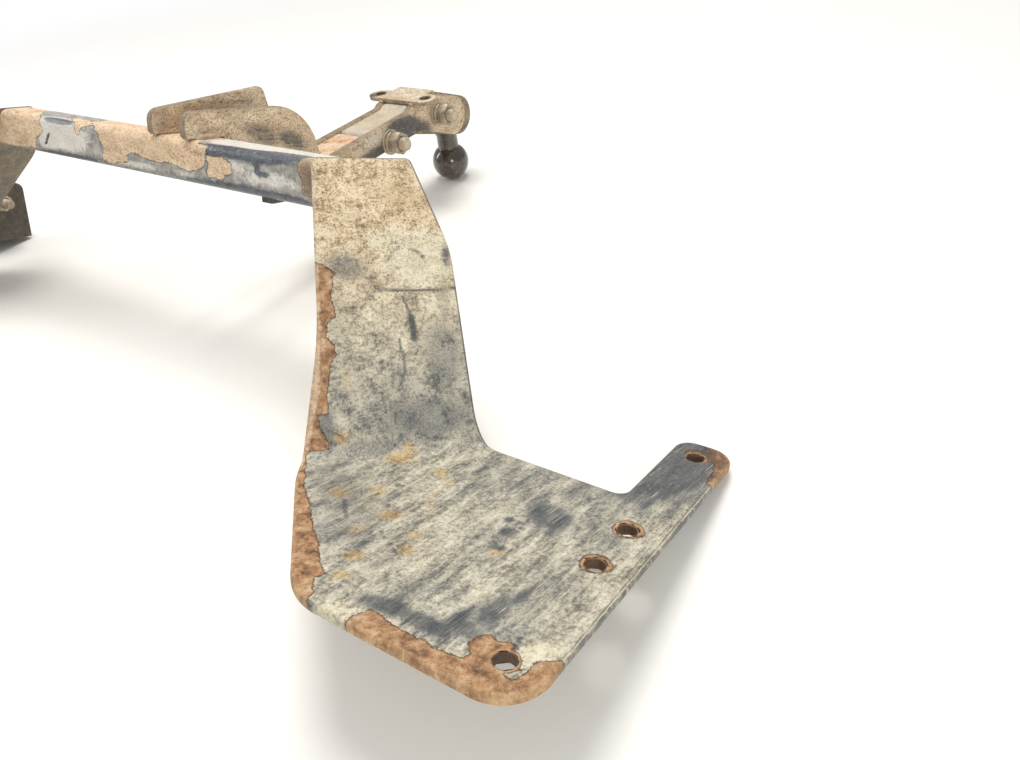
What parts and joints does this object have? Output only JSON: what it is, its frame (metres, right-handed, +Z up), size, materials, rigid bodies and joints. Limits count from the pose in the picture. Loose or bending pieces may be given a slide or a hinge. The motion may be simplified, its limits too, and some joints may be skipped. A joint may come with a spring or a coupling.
{
  "type": "towbar",
  "caption": "Welded towbar: square crossbar, bent side plates with chassis holes, and twin cheek plates that clamp a forged tow ball.",
  "frame": {"origin": "below the middle of the towbar, on the floor that it lies on", "axes": "+X along the crossbar to the right side plate, +Y rearwards to the tow ball, +Z up from the floor; the towbar lies upside down, as pictured, so a fitted towbar has +Z pointing down"},
  "size_m": [1.1, 0.7258, 0.2341],
  "materials": {
    "crossbar": "worn dark paint under dried dirt and rust",
    "side_plate": "worn slate paint, peeled at the edges to rust",
    "cheek_plate": "worn dark paint under brown dirt",
    "spacer": "grey paint with an orange rust patch",
    "ball": "dark forged steel, greased",
    "fastener": "zinc plated, dull and dirty",
    "eye_plate": "worn grey paint and dirt",
    "bracket": "dark dirty paint",
    "weld": "painted over weld metal with rust"
  },
  "bodies": {
    "root": {"crossbar": "crossbar", "right_side_plate": "side_plate", "left_side_plate": "side_plate", "right_cheek_plate": "cheek_plate", "left_cheek_plate": "cheek_plate", "arm_spacer": "spacer", "tow_ball": "ball", "clamp_bolts": "fastener", "clamp_washers": "fastener", "clamp_spring_washers": "fastener", "clamp_nuts": "fastener", "eye_plate": "eye_plate", "crossbar_tab": "crossbar", "angle_bracket": "bracket", "bracket_bolt": "fastener", "bracket_washer": "fastener", "bracket_nut": "fastener", "cheek_top_welds": "weld", "cheek_rear_welds": "weld", "eye_plate_welds": "weld", "bracket_weld": "weld"}
  },
  "joints": []
}
